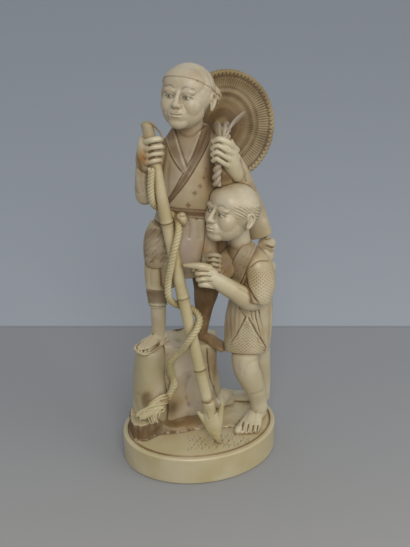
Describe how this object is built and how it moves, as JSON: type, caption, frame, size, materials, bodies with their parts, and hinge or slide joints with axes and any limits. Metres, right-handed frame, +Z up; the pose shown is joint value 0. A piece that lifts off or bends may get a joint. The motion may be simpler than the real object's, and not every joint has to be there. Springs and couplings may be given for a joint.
{
  "type": "okimono carving",
  "caption": "Carved figure group on an oval plinth: a man stands on rocks with a barbed pole, rope and woven hat, and a second man stoops beside him and points.",
  "frame": {"origin": "middle of the plinth's underside", "axes": "+Z up, -Y the way the figures face, +X to the right of someone who looks at them. The plinth's long axis is turned 20 degrees from X"},
  "size_m": [0.0842, 0.0796, 0.22],
  "materials": {
    "carved_base": "polished ivory, plain",
    "carved_stone": "ivory carved as rough stone, brown stain in the hollows",
    "carved_skin": "polished ivory, bare skin",
    "carved_cloth": "ivory carved as folded cloth, light brown stain",
    "carved_straw": "ivory carved as woven straw, brown stain between the ribs",
    "carved_cord": "ivory carved as twisted cord",
    "carved_bamboo": "polished ivory carved as bamboo",
    "dowel_blank": "turned ivory pins, hidden in the joints"
  },
  "bodies": {
    "root": {"plinth": "carved_base", "earth_plate": "carved_base", "rock": "carved_stone", "boulder": "carved_stone", "base_dowels": "dowel_blank", "rock_dowels": "dowel_blank", "neck_dowels": "dowel_blank", "foot_dowels": "dowel_blank", "hat_dowel": "dowel_blank", "tall_head": "carved_skin", "tall_right_hand": "carved_skin", "tall_left_hand": "carved_skin", "tall_right_leg": "carved_skin", "tall_left_leg": "carved_cloth", "tall_robe": "carved_cloth", "tall_right_sleeve": "carved_cloth", "tall_left_sleeve": "carved_cloth", "short_head": "carved_skin", "short_near_forearm": "carved_skin", "short_far_hand": "carved_skin", "short_near_leg": "carved_skin", "short_far_leg": "carved_skin", "short_robe": "carved_cloth", "short_near_sleeve": "carved_cloth", "short_far_sleeve": "carved_cloth", "bundle": "carved_cloth", "pouch": "carved_cloth", "hat": "carved_straw", "hat_cord": "carved_cord", "rope_upper": "carved_cord", "rope_lower": "carved_cord", "rope_tuft": "carved_cord", "pole": "carved_bamboo", "barb_head": "carved_bamboo"}
  },
  "joints": []
}
